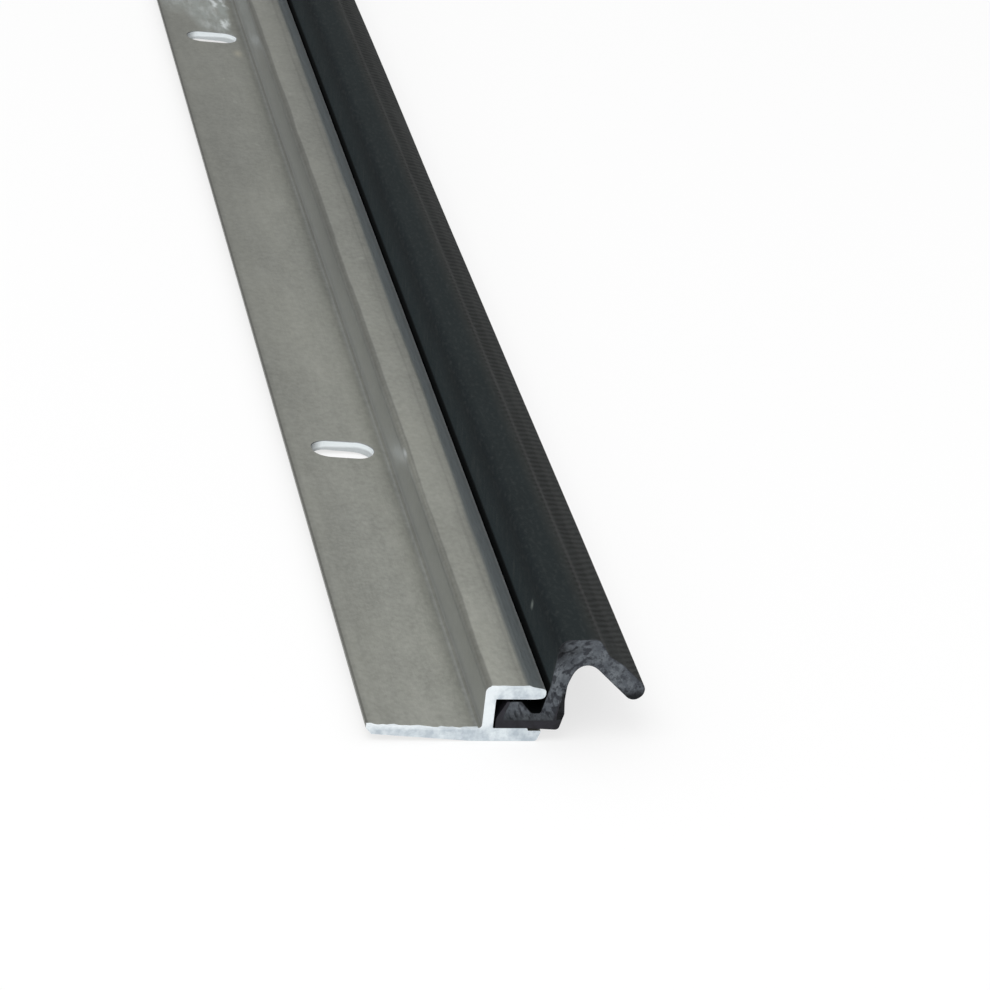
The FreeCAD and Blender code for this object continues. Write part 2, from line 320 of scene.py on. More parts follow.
def patches(tree, perMm, seed=0.0, detail=3.0, low=0.35, high=0.65, at=None):
    # soft patches, their size given as waves per mm along X, Y and Z
    if at is None:
        at = objectPlace(tree)
    scale = [value / mm for value in perMm]
    mapping = {"Vector": at, "Location": (seed, seed, seed), "Scale": scale}
    spot = addNode(tree, "ShaderNodeMapping", mapping).outputs[0]
    inputs = {"Vector": spot, "Scale": 1.0, "Detail": detail, "Roughness": 0.55}
    return spread(tree, addNode(tree, "ShaderNodeTexNoise", inputs).outputs["Fac"], low, high)


def pattern(tree, layer, at=None):
    # patches from a layer's dictionary, which says more than their size
    known = [key for key in ("perMm", "seed", "detail", "low", "high") if key in layer]
    return patches(tree, at=at, **{key: layer[key] for key in known})


def wander(tree, value, perMm, seed, reach):
    # lets the edge of a band run a little unevenly
    drift = spread(tree, patches(tree, perMm, seed), 0, 1, -reach * mm, reach * mm)
    return maths(tree, "ADD", value, drift)


def mixTone(tree, factor, a, b, blend="MIX"):
    node = addNode(tree, "ShaderNodeMix", {0: factor, 6: a, 7: b}, data_type="RGBA", blend_type=blend)
    return node.outputs[2]


def grey(level):
    return (level, level, level, 1)


def shade(tree, tone, mask, level):
    return mixTone(tree, mask, tone, grey(level), "MULTIPLY")


def layTones(tree, tone, piece, layers):
    # one soft pattern over another, each with a tone of its own or as a shade
    for layer in layers.values():
        mask = product(tree, pattern(tree, layer), layer["share"])
        if "level" in layer:
            tone = shade(tree, tone, mask, layer["level"])
        else:
            tone = mixTone(tree, mask, tone, piece[layer["tone"]])
    return tone


def relief(tree, height, depth, strength, below=None):
    inputs = {"Height": height, "Distance": depth * mm, "Strength": strength}
    if below is not None:
        inputs["Normal"] = below
    return addNode(tree, "ShaderNodeBump", inputs).outputs["Normal"]


def bumps(tree, layer, below=None):
    return relief(tree, pattern(tree, layer), layer["depth"], layer["strength"], below)


# Carrier: the slotted aluminium strip

carrier = {
    "outline": [  # across, up and corner radius
        (-15.662, 0.880, -0.7),
        (-3.662, 0.000, 0),
        (3.818, 0.000, 0.4),
        (4.268, 1.320, 0.12),
        (2.768, 1.320, 0),
        (2.608, 1.640, 0),
        (-1.312, 1.640, 0.12),
        (-1.312, 5.340, 0.12),
        (3.088, 5.340, 0),
        (4.288, 5.490, 0.55),
        (4.288, 6.600, 0.4),
        (2.388, 6.980, 0),
        (-2.562, 6.980, 0.75),
        (-2.562, 1.640, 0.4),
        (-6.662, 1.640, 0),
        (-15.662, 2.050, 0.12),
    ],
    "webX": -2.562,
    "floorZ": 1.640,
    "topZ": 6.980,
    "bendX": -6.662,
    "legSlope": 0.41 / 9.0,  # rise of the leg's top over its outer 9 mm
    "facetX": 2.388,
    "touch": 0.02,  # a point this near a surface counts as on it
    "legClear": 0.3,  # the leg's top ends this far from the web
    "flangeClear": (0.6, 0.1),  # and the flange's this far from the web and past the facet's edge
    "legCuts": ((5, 19), (3, 8)),  # edges over this length get this many points
    "flangeCuts": (3, 11),
    "smooth": 32,
    "slots": {
        "x": -8.362,
        "first": -386.9,
        "pitch": 152.4,
        "count": 6,
        "length": 7.94,
        "width": 4.76,
        "sides": 48,
        "flare": 0.5,  # how much the cutter widens above the leg
        "rim": (0.03, 0.16),  # least and most that the punch rounded the edge
        "ripple": (0.5, (0.25, 2), (0.25, 5)),
        "seed": 7,
    },
    "burr": {
        "bevel": 0.09,
        "leg": 0.36,  # how far the saw's burr reaches along the leg's top edge
        "flange": 0.12,
        "ripple": (0.45, (0.3, 2.1), (0.25, 4.7)),
        "jitter": 0.15,
        "seed": 11,
    },
    "finish": (0.390, 0.397, 0.350, 1),
    "finishDark": (0.325, 0.333, 0.298, 1),
    "finishPale": (0.490, 0.497, 0.455, 1),
    "bare": (0.86, 0.91, 0.93, 1),
    "metal": 0.8,
    "rough": (0.33, 0.42),  # clean and dusty
    "layers": {
        "broad": {"perMm": (0.10, 0.030, 0.10), "seed": 3, "share": 1.0, "tone": "finishDark"},
        "pale": {"perMm": (0.30, 0.16, 0.30), "seed": 5, "low": 0.45, "high": 0.75,
                 "share": 0.28, "tone": "finishPale"},
        "drawn": {"perMm": (1.2, 0.006, 1.2), "seed": 1, "low": 0.4, "high": 0.62,
                  "share": 0.16, "level": 0.80},
        "clouds": {"perMm": (0.16, 0.07, 0.16), "seed": 12, "detail": 2, "low": 0.5, "high": 0.72,
                   "share": 0.6, "level": 0.84},
        "dust": {"perMm": (2.2, 1.4, 2.2), "seed": 2, "detail": 4, "share": 0.38, "tone": "finishPale"},
        "flecks": {"perMm": (0.55, 0.40, 0.55), "seed": 9, "detail": 1, "low": 0.74, "high": 0.80,
                   "share": 0.5, "tone": "finishPale"},
    },
    "mottle": {"perMm": (1.4, 1.1, 1.4), "seed": 14, "detail": 3, "levels": (0.94, 1.06)},
    "lines": {"perMm": (4, 0.010, 4), "seed": 2, "depth": 0.010, "strength": 0.4},
    "grain": {"perMm": (4, 2.5, 4), "seed": 4, "detail": 4, "depth": 0.012, "strength": (0.5, 0.15)},
    "farShade": (-457, -290, 0.80),  # painted shade, darker towards the far end as the light falls off
    "legEdgeShades": (  # painted shade also towards the leg's outer edge, and a painted dark line along it
        (-8.5, -13.5, 0.85),
        (-14.8, -15.3, 0.85),
        (-15.35, -15.45, 0.6),
    ),
    "legUp": (2.3, 1.75),  # the leg's own marks show below this
    "flangeUp": (6.24, 6.83),  # and the flange's above this
    "web": {
        "face": (-2.64, -2.4, 0.03),
        "pale": (6.2, 2.6),  # paler towards its foot
        # the foot and fillet get painted shade, and the cool tints are a painted reflection
        "foot": (-3.75, -2.4, 0.45),
        "footWander": ((0.1, 0.04, 0.1), 7, 0.3),
        "footShade": 0.83,
        "fillet": (-2.96, -2.66, 0.08),
        "filletUp": (2.5, 2.1),
        "filletShade": (0.66, 0.655, 0.60, 1),
        "cool": (-3.2, -2.4, 0.35),
        "coolUp": (6.7, 6.4),
        "coolAlong": (-400, -300),
        "coolReflections": ((1.02, 1.04, 1.13, 1), (1.09, 1.11, 1.21, 1)),  # near and far
    },
    # painted shade inside the channel
    "channel": {"start": (-1.5, -1.4), "up": (1.55, 5.45, 0.05), "level": 0.14},
    "flange": {
        "edge": (-3.0, -1.82, 0.12),
        "edgeWander": ((0.02, 0.04, 0.02), 8, 0.12),
        "edgeUp": (6.0, 6.5),
        "edgeLevel": 0.58,
        "rimHighlight": {"x": (-2.50, -2.05, 0.12), "y": (-430, -385, 12)},  # painted highlight on the edge's rounding there
        "rimHighlightShare": 0.5,
        "dull": (-430, -418, 6),
        "dullLevel": 0.92,
        # painted shade towards the facet
        "right": (0.2, 2.3),
        "rightShade": 0.86,
        "line": (1.35, 1.65, 0.12),
        "lineWander": ((0.02, 0.03, 0.02), 6, 0.12),
        "lineLevel": 0.88,
    },
    # the facet's tones are a painted reflection of the dark seal, darkest at its foot and palest at its rim
    "facet": {
        "start": (2.25, 2.7),
        "wander": ((0.02, 0.025, 0.02), 4, 0.22),
        "shiftAlong": (-395, -445),
        "shift": 0.3,  # how much wider it is at the near end
        "footEnd": (2.4, 3.5),
        "rimStart": (3.8, 4.1),
        "reflectionTones": ((0.155, 0.172, 0.172, 1), (0.370, 0.415, 0.435, 1), (0.430, 0.470, 0.500, 1)),
        "tip": (3.9, 4.2),
        "tipMetal": 0.25,
    },
    "darkPatch": {"x": (-12.2, -10.4, 1.2), "y": (-408.0, -401.0, 4.0), "level": 0.88},
    "nick": {"x": (-2.55, -2.32, 0.08), "y": (-398.8, -396.8, 0.8), "up": (6.1, 6.4), "share": 0.5},
    "spot": {"x": (-5.4, -4.4, 0.5), "y": (-242.8, -240.4, 1.0), "share": 0.5,
             "tone": (0.62, 0.58, 0.46, 1)},
    "smear": {
        "tone": (0.52, 0.59, 0.58, 1),
        # painted highlights on the smear's film, in its veins, rim and streaks
        "highlightTone": (0.85, 0.90, 0.90, 1),
        "x": (-15.4, -4.6, 0.35),
        "xWander": ((0.02, 0.12, 0.02), 3, 0.5),
        "borderX": (-8.8, -11.8),
        "borderY": (-231.0, -221.5),  # it starts nearer on its right
        "yWander": ((0.22, 0.05, 0.22), 2, 1.5),
        "length": (0, 32.0, 3.5),
        "film": {"perMm": (0.8, 0.25, 0.8), "seed": 4, "detail": 5, "low": 0.25, "high": 0.6,
                 "share": 0.45},
        "rim": (-6.6, -5.4),
        "rimWander": ((0.1, 0.3, 0.1), 5, 0.5),
        "veins": {"perMm": (0.8, 0.22, 0.8), "seed": 7, "detail": 5, "low": 0.50, "high": 0.66,
                  "share": 0.30},
        "streaks": (
            {"x": (-6.5, -5.8, 0.25), "y": (-219.5, -213.0, 1.0)},
            {"x": (-5.9, -5.3, 0.25), "y": (-230.0, -226.0, 1.0)},
            {"x": (-12.4, -9.4, 0.25), "y": (-215.5, -213.5, 1.0)},
        ),
        "streakWanderX": ((0.1, 0.35, 0.1), 6, 0.5),
        "streakWanderY": ((0.6, 0.1, 0.6), 4, 0.8),
        "torn": {"perMm": (1.2, 0.5, 1.2), "seed": 5, "detail": 4, "low": 0.3, "high": 0.5},
        "gloss": 0.05,
    },
    "sawn": {
        "tone": (0.70, 0.76, 0.79, 1),
        "dull": (0.44, 0.50, 0.55, 1),
        "blotches": {"perMm": (0.9, 0.9, 0.9), "seed": 2, "detail": 4, "low": 0.36, "high": 0.66},
        "web": (-0.6, -1.7),  # brighter where the saw left the web
        "webWander": ((0.8, 0.8, 0.8), 4, 0.5),
        "webUp": (1.3, 2.0),
        "webShare": 0.75,
        "marks": {"perMm": (0.5, 1.0, 8.0), "seed": 1, "detail": 2, "depth": 0.02, "strength": 0.5},
        "pits": {"perMm": (3, 3, 3), "seed": 6, "depth": 0.02, "strength": 0.5},
        "metal": 0.3,
        "rough": 0.42,
    },
    "punched": {
        "from": (1, 2),  # the ends' look stops this far in
        "low": (1.05, 0.75, 0.6),  # start, end and level of each shade
        # the low shade is the duller lower wall; the left and edge shades are painted shade on the left end's
        # wall and along the rounded rim
        "left": (-10.8, -12.0, 0.4),
        "edge": (0.12, 0.06, 0.25),
    },
}


def legTop(x):
    return carrier["floorZ"] + max(0.0, (carrier["bendX"] - x) * carrier["legSlope"])


def onLeg(at):
    return at.x < carrier["webX"] - carrier["legClear"] and near(at.z, legTop(at.x), carrier["touch"])


def onFlange(at):
    left, right = carrier["flangeClear"]
    across = carrier["webX"] + left < at.x < carrier["facetX"] + right
    return across and at.z > carrier["topZ"] - carrier["touch"]


def onFacetEdge(at):
    return near(at.x, carrier["facetX"]) and near(at.z, carrier["topZ"])


def ripple(place, drift, middle, *swings):
    # each swing has a height and a number of waves
    return middle + sum(height * math.sin(rate * place + start)
                        for (height, rate), start in zip(swings, drift))


def legMask(tree):
    _, _, z = axes(tree)
    return fade(tree, z, *carrier["legUp"])


def flangeMask(tree):
    _, _, z = axes(tree)
    return fade(tree, z, *carrier["flangeUp"])


def layFinishAndShade(tree):
    # the finish's own patterns, then painted shade towards the far end and towards the leg's outer edge
    x, y, _ = axes(tree)
    tone = layTones(tree, carrier["finish"], carrier, carrier["layers"])
    mottle = spread(tree, pattern(tree, carrier["mottle"]), 0, 1, *carrier["mottle"]["levels"])
    tone = mixTone(tree, 1.0, tone, mottle, "MULTIPLY")
    start, end, level = carrier["farShade"]
    tone = shade(tree, tone, fade(tree, y, start, end), level)
    # painted shade towards the leg's outer edge
    for start, end, level in carrier["legEdgeShades"]:
        tone = shade(tree, tone, fade(tree, x, start, end), level)
    return tone


def shadeWeb(tree, tone):
    # paler towards its foot, with painted shade on the leg beside it and in the fillet below it, and a
    # painted cool reflection over the web and the leg beside it
    x, y, z = axes(tree)
    web = carrier["web"]
    face = product(tree, band(tree, x, *web["face"]), fade(tree, z, *web["pale"]))
    tone = mixTone(tree, face, tone, carrier["finishPale"])
    # painted shade on the leg beside the web
    foot = band(tree, wander(tree, x, *web["footWander"]), *web["foot"])
    tone = shade(tree, tone, product(tree, foot, legMask(tree)), web["footShade"])
    # painted shade in the fillet
    fillet = product(tree, band(tree, x, *web["fillet"]), fade(tree, z, *web["filletUp"]))
    tone = mixTone(tree, fillet, tone, web["filletShade"], "MULTIPLY")
    # painted cool reflection, stronger far off
    cool = product(tree, band(tree, x, *web["cool"]), fade(tree, z, *web["coolUp"]))
    tint = mixTone(tree, fade(tree, y, *web["coolAlong"]), *web["coolReflections"])
    tone = mixTone(tree, cool, tone, tint, "MULTIPLY")
    # painted shade inside the channel
    channel = carrier["channel"]
    inside = product(tree, fade(tree, x, *channel["start"]), band(tree, z, *channel["up"]))
    return shade(tree, tone, inside, channel["level"])


def shadeFlange(tree, tone):
    # dark along its left edge with a painted highlight on its rounding, painted shade towards its right with
    # a thin line on it, and a painted reflection of the dark seal on the facet beyond
    x, y, z = axes(tree)
    onTop = flangeMask(tree)
    flange = carrier["flange"]
    edge = band(tree, wander(tree, x, *flange["edgeWander"]), *flange["edge"])
    # painted highlight on the edge's rounding, which lifts its dark band
    rimHighlight = spread(tree, fieldMask(tree, flange["rimHighlight"]), 0, 1, 1.0, flange["rimHighlightShare"])
    edge = product(tree, edge, rimHighlight, fade(tree, z, *flange["edgeUp"]))
    tone = shade(tree, tone, edge, flange["edgeLevel"])
    tone = shade(tree, tone, product(tree, band(tree, y, *flange["dull"]), onTop), flange["dullLevel"])
    tone = shade(tree, tone, product(tree, fade(tree, x, *flange["right"]), onTop), flange["rightShade"])
    line = band(tree, wander(tree, x, *flange["lineWander"]), *flange["line"])
    tone = shade(tree, tone, product(tree, line, onTop), flange["lineLevel"])
    facet = carrier["facet"]
    shift = fade(tree, y, *facet["shiftAlong"], 0, facet["shift"] * mm)
    start = maths(tree, "ADD", wander(tree, x, *facet["wander"]), shift)
    # painted reflection of the dark seal on the facet
    foot, middle, rim = facet["reflectionTones"]
    facetReflection = mixTone(tree, fade(tree, x, *facet["footEnd"]), foot, middle)
    facetReflection = mixTone(tree, fade(tree, x, *facet["rimStart"]), facetReflection, rim)
    return mixTone(tree, product(tree, fade(tree, start, *facet["start"]), onTop), tone, facetReflection)


def addMarks(tree, tone):
    # dark patch and bright nick beside the first slot, pale spot beside the second
    _, _, z = axes(tree)
    patch = carrier["darkPatch"]
    tone = shade(tree, tone, product(tree, fieldMask(tree, patch), legMask(tree)), patch["level"])
    nick = carrier["nick"]
    mask = product(tree, fieldMask(tree, nick), fade(tree, z, *nick["up"]), nick["share"])
    tone = mixTone(tree, mask, tone, carrier["bare"])
    spot = carrier["spot"]
    mask = product(tree, fieldMask(tree, spot), legMask(tree), spot["share"])
    return mixTone(tree, mask, tone, spot["tone"])


def smearMask(tree):
    x, y, _ = axes(tree)
    smear = carrier["smear"]
    right, left = smear["borderY"]
    border = fade(tree, x, *smear["borderX"], right * mm, left * mm)
    beyond = maths(tree, "SUBTRACT", wander(tree, y, *smear["yWander"]), border)
    across = band(tree, wander(tree, x, *smear["xWander"]), *smear["x"])
    return product(tree, across, band(tree, beyond, *smear["length"]), legMask(tree))


def addSmear(tree, tone, mask):
    # dried smear beyond the second slot, with painted highlights in pale veins, along a pale rim and in torn
    # streaks
    x, y, _ = axes(tree)
    smear = carrier["smear"]
    film = product(tree, mask, pattern(tree, smear["film"]), smear["film"]["share"])
    tone = mixTone(tree, film, tone, smear["tone"])
    rim = fade(tree, wander(tree, x, *smear["rimWander"]), *smear["rim"])
    veins = pattern(tree, smear["veins"])
    pale = maths(tree, "MAXIMUM", product(tree, rim, veins), product(tree, veins, smear["veins"]["share"]))
    tone = mixTone(tree, product(tree, mask, pale), tone, smear["highlightTone"])
    wideX = wander(tree, x, *smear["streakWanderX"])
    wideY = wander(tree, y, *smear["streakWanderY"])
    torn = product(tree, pattern(tree, smear["torn"]), legMask(tree))
    for streak in smear["streaks"]:
        field = product(tree, band(tree, wideY, *streak["y"]), band(tree, wideX, *streak["x"]))
        tone = mixTone(tree, product(tree, field, torn), tone, smear["highlightTone"])
    return tone


def makeSatinAluminium():
    material, tree, shader = newMaterial("satinAluminium")
    x, _, _ = axes(tree)
    smear = smearMask(tree)
    tone = shadeFlange(tree, shadeWeb(tree, layFinishAndShade(tree)))
    tone = addSmear(tree, addMarks(tree, tone), smear)
    setInput(tree, shader, "Base Color", tone)
    facet = carrier["facet"]
    metal = fade(tree, x, *facet["tip"], carrier["metal"], facet["tipMetal"])
    setInput(tree, shader, "Metallic", metal)
    rough = spread(tree, pattern(tree, carrier["layers"]["dust"]), 0, 1, *carrier["rough"])
    gloss = product(tree, smear, carrier["smear"]["gloss"])
    setInput(tree, shader, "Roughness", maths(tree, "SUBTRACT", rough, gloss))
    grain = carrier["grain"]
    rubbed = spread(tree, smear, 0, 1, *grain["strength"])
    lines = bumps(tree, carrier["lines"])
    setInput(tree, shader, "Normal", relief(tree, pattern(tree, grain), grain["depth"], rubbed, lines))
    return material


def makeBareAluminium():
    material, tree, shader = newMaterial("bareAluminium")
    x, y, z = axes(tree)
    sawn = carrier["sawn"]
    tone = mixTone(tree, pattern(tree, sawn["blotches"]), sawn["tone"], sawn["dull"])
    web = fade(tree, wander(tree, x, *sawn["webWander"]), *sawn["web"])
    web = product(tree, web, fade(tree, z, *sawn["webUp"]), sawn["webShare"])
    tone = mixTone(tree, web, tone, carrier["bare"])
    # the punch left the slots brighter than the saw left the ends
    punched = carrier["punched"]
    beyondEnd = fade(tree, y, *[strip["near"] + reach for reach in punched["from"]])
    slope = product(tree, maths(tree, "SUBTRACT", carrier["bendX"] * mm, x), carrier["legSlope"])
    top = maths(tree, "ADD", maths(tree, "MAXIMUM", slope, 0), carrier["floorZ"] * mm)
    depth = maths(tree, "SUBTRACT", top, z)
    wall = carrier["bare"]
    # the lower wall is duller, and painted shade darkens the left end's wall and the rounded rim
    for value, (start, end, level) in ((z, punched["low"]), (x, punched["left"]), (depth, punched["edge"])):
        wall = shade(tree, wall, fade(tree, value, start, end), level)
    setInput(tree, shader, "Base Color", mixTone(tree, beyondEnd, tone, wall))
    setInput(tree, shader, "Metallic", sawn["metal"])
    setInput(tree, shader, "Roughness", sawn["rough"])
    setInput(tree, shader, "Normal", bumps(tree, sawn["pits"], bumps(tree, sawn["marks"])))
    return material


def makeSlotCutter(number):
    # a round bar stretched to the slot's length, whose top flares to the rim that the punch rounded
    slots = carrier["slots"]
    y = slots["first"] + number * slots["pitch"]
    clearSelection()
    bpy.ops.mesh.primitive_cylinder_add(vertices=slots["sides"], radius=slots["width"] / 2 * mm, depth=2 * mm,
                                        end_fill_type="NGON", location=(slots["x"] * mm, y * mm, 0))
    cutter = bpy.context.object
    bpy.ops.object.transform_apply(location=True, rotation=True, scale=True)
    openMesh(cutter)
    reach = (slots["length"] - slots["width"]) / 2
    for side in (-1, 1):
        selectPoints(cutter, lambda at: side * (at.x - slots["x"]) > 0.05)
        bpy.ops.transform.translate(value=(side * reach * mm, 0, 0))
    selectPoints(cutter, lambda at: at.z > 0)
    bpy.ops.mesh.extrude_region_move(TRANSFORM_OT_translate={"value": (0, 0, mm)})
    closeMesh()
    chance = random.Random(slots["seed"] + number)
    drift = [chance.uniform(0, 2 * math.pi) for _ in range(2)]
    least, most = slots["rim"]
    for point in cutter.data.vertices:
        at = point.co / mm
        if at.z < 0:
            continue
        middle = Vector((max(-reach, min(reach, at.x - slots["x"])) + slots["x"], y, at.z))
        out = (at - middle).normalized()
        rim = least + (most - least) * ripple(math.atan2(out.y, out.x), drift, *slots["ripple"])
        rise = -rim
        if at.z > 1.5:  # the upper of the bar's two top rings
            at += out * (rim + slots["flare"])
            rise = slots["flare"]
        at.z = legTop(at.x) + rise
        point.co = at * mm
    return cutter


def joinPieces(pieces):
    clearSelection()
    for piece in pieces:
        piece.select_set(True)
    bpy.context.view_layer.objects.active = pieces[0]
    bpy.ops.object.join()
    openMesh(pieces[0])
    bpy.ops.mesh.select_all(action="SELECT")
    bpy.ops.mesh.normals_make_consistent(inside=False)
    closeMesh()
    return pieces[0]


def cutSlots(piece, materials):
    cutter = joinPieces([makeSlotCutter(number) for number in range(carrier["slots"]["count"])])
    for material in materials:
        cutter.data.materials.append(material)
    for face in cutter.data.polygons:
        face.material_index = 1
    cut = piece.modifiers.new("slots", "BOOLEAN")
    cut.operation = "DIFFERENCE"
    cut.solver = "EXACT"
    cut.object = cutter
    applyModifier(piece, cut)
    bpy.data.objects.remove(cutter)


def leaveBurr(piece, end, inward):
    # the saw leaves a bright scalloped edge along the top of the leg and the flange
    burr = carrier["burr"]
    openMesh(piece)
    selectEdges(piece, lambda a, b: all(near(at.y, end) and (onLeg(at) or onFlange(at)) for at in (a, b)))
    bpy.ops.mesh.bevel(offset=burr["bevel"] * mm, segments=1, material=1)
    closeMesh()
    chance = random.Random(burr["seed"])
    drift = [chance.uniform(0, 2 * math.pi) for _ in range(2)]
    for point in piece.data.vertices:
        at = point.co / mm
        if not carrier["touch"] < abs(at.y - end) < 2 * burr["bevel"]:
            continue
        reach = burr["leg"] if onLeg(at) else burr["flange"]
        wave = ripple(at.x, drift, *burr["ripple"]) + chance.uniform(-burr["jitter"], burr["jitter"])
        point.co.y += inward * reach * max(0.0, wave) * mm


def makeCarrier():
    satin = makeSatinAluminium()
    bare = makeBareAluminium()
    piece = traceSection("carrierStrip", carrier["outline"])
    openMesh(piece)
    for length, cuts in carrier["legCuts"]:  # first the slope, then the flat
        selectEdges(piece, lambda a, b: onLeg(a) and onLeg(b) and abs(a.x - b.x) > length)
        bpy.ops.mesh.subdivide(number_cuts=cuts)
    length, cuts = carrier["flangeCuts"]
    top = carrier["topZ"] - carrier["touch"]
    selectEdges(piece, lambda a, b: min(a.z, b.z) > top and abs(a.x - b.x) > length)
    bpy.ops.mesh.subdivide(number_cuts=cuts)
    closeMesh()
    runAlong(piece, 0)
    coverPiece(piece, satin, bare, carrier["smooth"])
    cutSlots(piece, (satin, bare))
    leaveBurr(piece, strip["near"], 1)
    leaveBurr(piece, strip["far"], -1)
    openMesh(piece)
    selectEdges(piece, lambda a, b: onFacetEdge(a) and onFacetEdge(b))
    bpy.ops.mesh.mark_sharp()
    closeMesh()
    pick(piece)
    bpy.ops.object.shade_smooth_by_angle(angle=math.radians(carrier["smooth"]), keep_sharp_edges=True)
    return piece


carrierStrip = makeCarrier()
print("carrier:", len(carrierStrip.data.polygons), "faces")


# Sponge seal: foot, stem, arch and lip in one soft extrusion

sponge = {
    "outline": [
        (-0.222, 2.640, 0),
        (5.468, 2.640, 0),
        (6.038, 5.490, 0),
        (5.748, 2.640, 0),
        (6.467, 2.640, 0),
        (6.678, 3.500, 0.3),
        (6.518, 5.200, 3.0),
        (6.598, 7.200, 3.0),
        (7.958, 11.000, 1.85),
        (14.512, 4.923, 1.176),
        (16.148, 6.679, 1.176),
        (12.748, 9.850, 3.0),
        (11.098, 10.840, 1.5),
        (9.668, 13.040, 1.0),
        (5.218, 12.840, 1.25),
        (4.688, 6.980, 8.0),
        (3.928, 3.560, 0.3),
        (2.888, 3.560, 0.3),
        (1.588, 5.040, 0.3),
        (0.688, 5.040, 0.3),
        (0.318, 4.980, 0),
        (-0.222, 3.240, 0),
    ],
    "pitch": 0.11,
    "rings": 47,
    "smooth": 40,
    "slices": (2.5, 0.10),  # size and depth of the cut's unevenness
    "cells": (0.55, 0.16),  # size and depth of its open cells
    "cellEdge": (0.12, 0.42),  # where a cell's wall starts and ends
    "wave": (60, -0.25),  # length and depth of the lip's waviness
    "waveX": (9.0, 15.5),  # it grows to its full depth between these
    "stem": (0.0270, 0.0365, 0.0400, 1),
    "shoulder": (0.0112, 0.0155, 0.0175, 1),
    "crown": (0.0170, 0.0222, 0.0234, 1),
    "lip": (0.0285, 0.0312, 0.0304, 1),
    "dustTone": (0.0560, 0.0610, 0.0600, 1),
    "shoulderUp": (7.6, 12.2),  # each tone takes over from the last between these
    "crownX": (5.3, 6.2),
    "lipX": (8.2, 9.5),
    "stemX": (6.1, 6.0),  # left of this is the stem's outer face
    "layers": {
        "mottle": {"perMm": (0.22, 0.08, 0.22), "seed": 5, "detail": 4, "share": 0.5, "level": 0.78},
        "dust": {"perMm": (2.4, 0.9, 2.4), "seed": 3, "detail": 4, "low": 0.5, "high": 0.8,
                 "share": 0.35, "tone": "dustTone"},
    },
    "ribs": {
        "pitch": 1.27,
        "slant": 1.95,  # how far a rib runs along the strip for each mm that it climbs
        "wander": ((0.1, 0.15, 0.1), 2, 0.3),
        "x": (9.0, 9.8),
        "up": (5.5, 7.0),
        "strong": {"perMm": (0.2, 0.05, 0.2), "seed": 8, "low": 0.25, "high": 0.48},
        "level": 0.42,
        "depth": 0.06,
        "strength": 0.6,
    },
    "dots": {"x": (9.15, 9.45, 0.06), "perMm": (0.1, 0.9, 0.1), "seed": 6, "low": 0.5, "high": 0.6,
             "share": 0.15},
    "hatch": {"turn": 0.7, "perMm": (0.1, 1.6, 0.10), "seed": 4, "detail": 2, "low": 0.5, "high": 0.7,
              "up": (7.6, 9.6, 0.5), "share": 0.4},
    "speck": {"y": (-443.4, -442.6, 0.3), "up": (9.3, 10.1, 0.3), "tone": (0.16, 0.18, 0.17, 1)},
    # painted shade where the stem leaves the channel
    "gapShade": {"up": (7.35, 7.0), "level": 0.08},
    "outerX": (6.0, 5.9),  # and the speck and the painted shade of the gap stay left of this
    "skinBumps": {"perMm": (5, 4, 5), "seed": 1, "detail": 4, "depth": 0.03, "strength": 0.6},
    "skinRough": 0.7,
    "skinGloss": 0.06,
    "cut": {
        "tone": (0.142, 0.158, 0.174, 1),
        "dark": (0.074, 0.083, 0.096, 1),
        "pore": (0.022, 0.024, 0.030, 1),
        "rim": (0.030, 0.033, 0.037, 1),
        "arch": (9.6, 6.8),  # the pores follow the form round this centre
        "archReach": 5,
        "cloudy": {"perMm": (0.5, 0.4, 0.4), "seed": 2, "detail": 4},
        "stretched": {"perMm": (1.7, 0.7, 0.5), "seed": 4, "detail": 2, "low": 0.46, "high": 0.60,
                      "share": 0.75},
        "pores": {"perMm": (1.5, 0.8, 1.0), "seed": 6, "detail": 2, "low": 0.50, "high": 0.60,
                  "x": (9.0, 12.0), "shares": (0.85, 0.3)},
        "specks": {"perMm": (2.6, 2.6, 2.6), "seed": 8, "detail": 3, "low": 0.50, "high": 0.62,
                   "x": (8.5, 11.0), "shares": (0.2, 0.6)},
        # the blade and foot shades are painted shade
        "blade": (4.85, 5.05),
        "bladeWander": ((1, 1, 1), 3, 0.15),
        "bladeLean": 0.2,  # how the anchor's blade leans along the stem
        "bladeUp": (6.9, 5.9),
        "bladeShade": 0.12,
        "corner": (7.9, 5.6),
        "cornerWander": ((0.8, 0.8, 0.8), 5, 0.7),
        "cornerUp": (8.8, 11.2),
        "cornerLevel": 0.22,
        "foot": (2.0, 3.6, 0.4),
        "footShade": 0.5,
        "rimShare": 0.85,
        "bumps": {"perMm": (6, 6, 6), "seed": 1, "depth": 0.06, "strength": 0.7},
        "rough": 0.85,
        "gloss": 0.2,
    },
}


def lipRibs(tree):
    # fine slanted ribs on the lip, their pitch a little uneven
    x, y, z = axes(tree)
    ribs = sponge["ribs"]
    onLip = product(tree, fade(tree, x, *sponge["lipX"]), fade(tree, z, *ribs["up"]))
    travel = maths(tree, "ADD", wander(tree, y, *ribs["wander"]), product(tree, z, ribs["slant"]))
    waves = maths(tree, "SINE", product(tree, travel, 2 * math.pi / (ribs["pitch"] * mm)))
    waves = product(tree, spread(tree, waves, -1, 1), onLip, fade(tree, x, *ribs["x"]))
    return product(tree, waves, pattern(tree, ribs["strong"]))


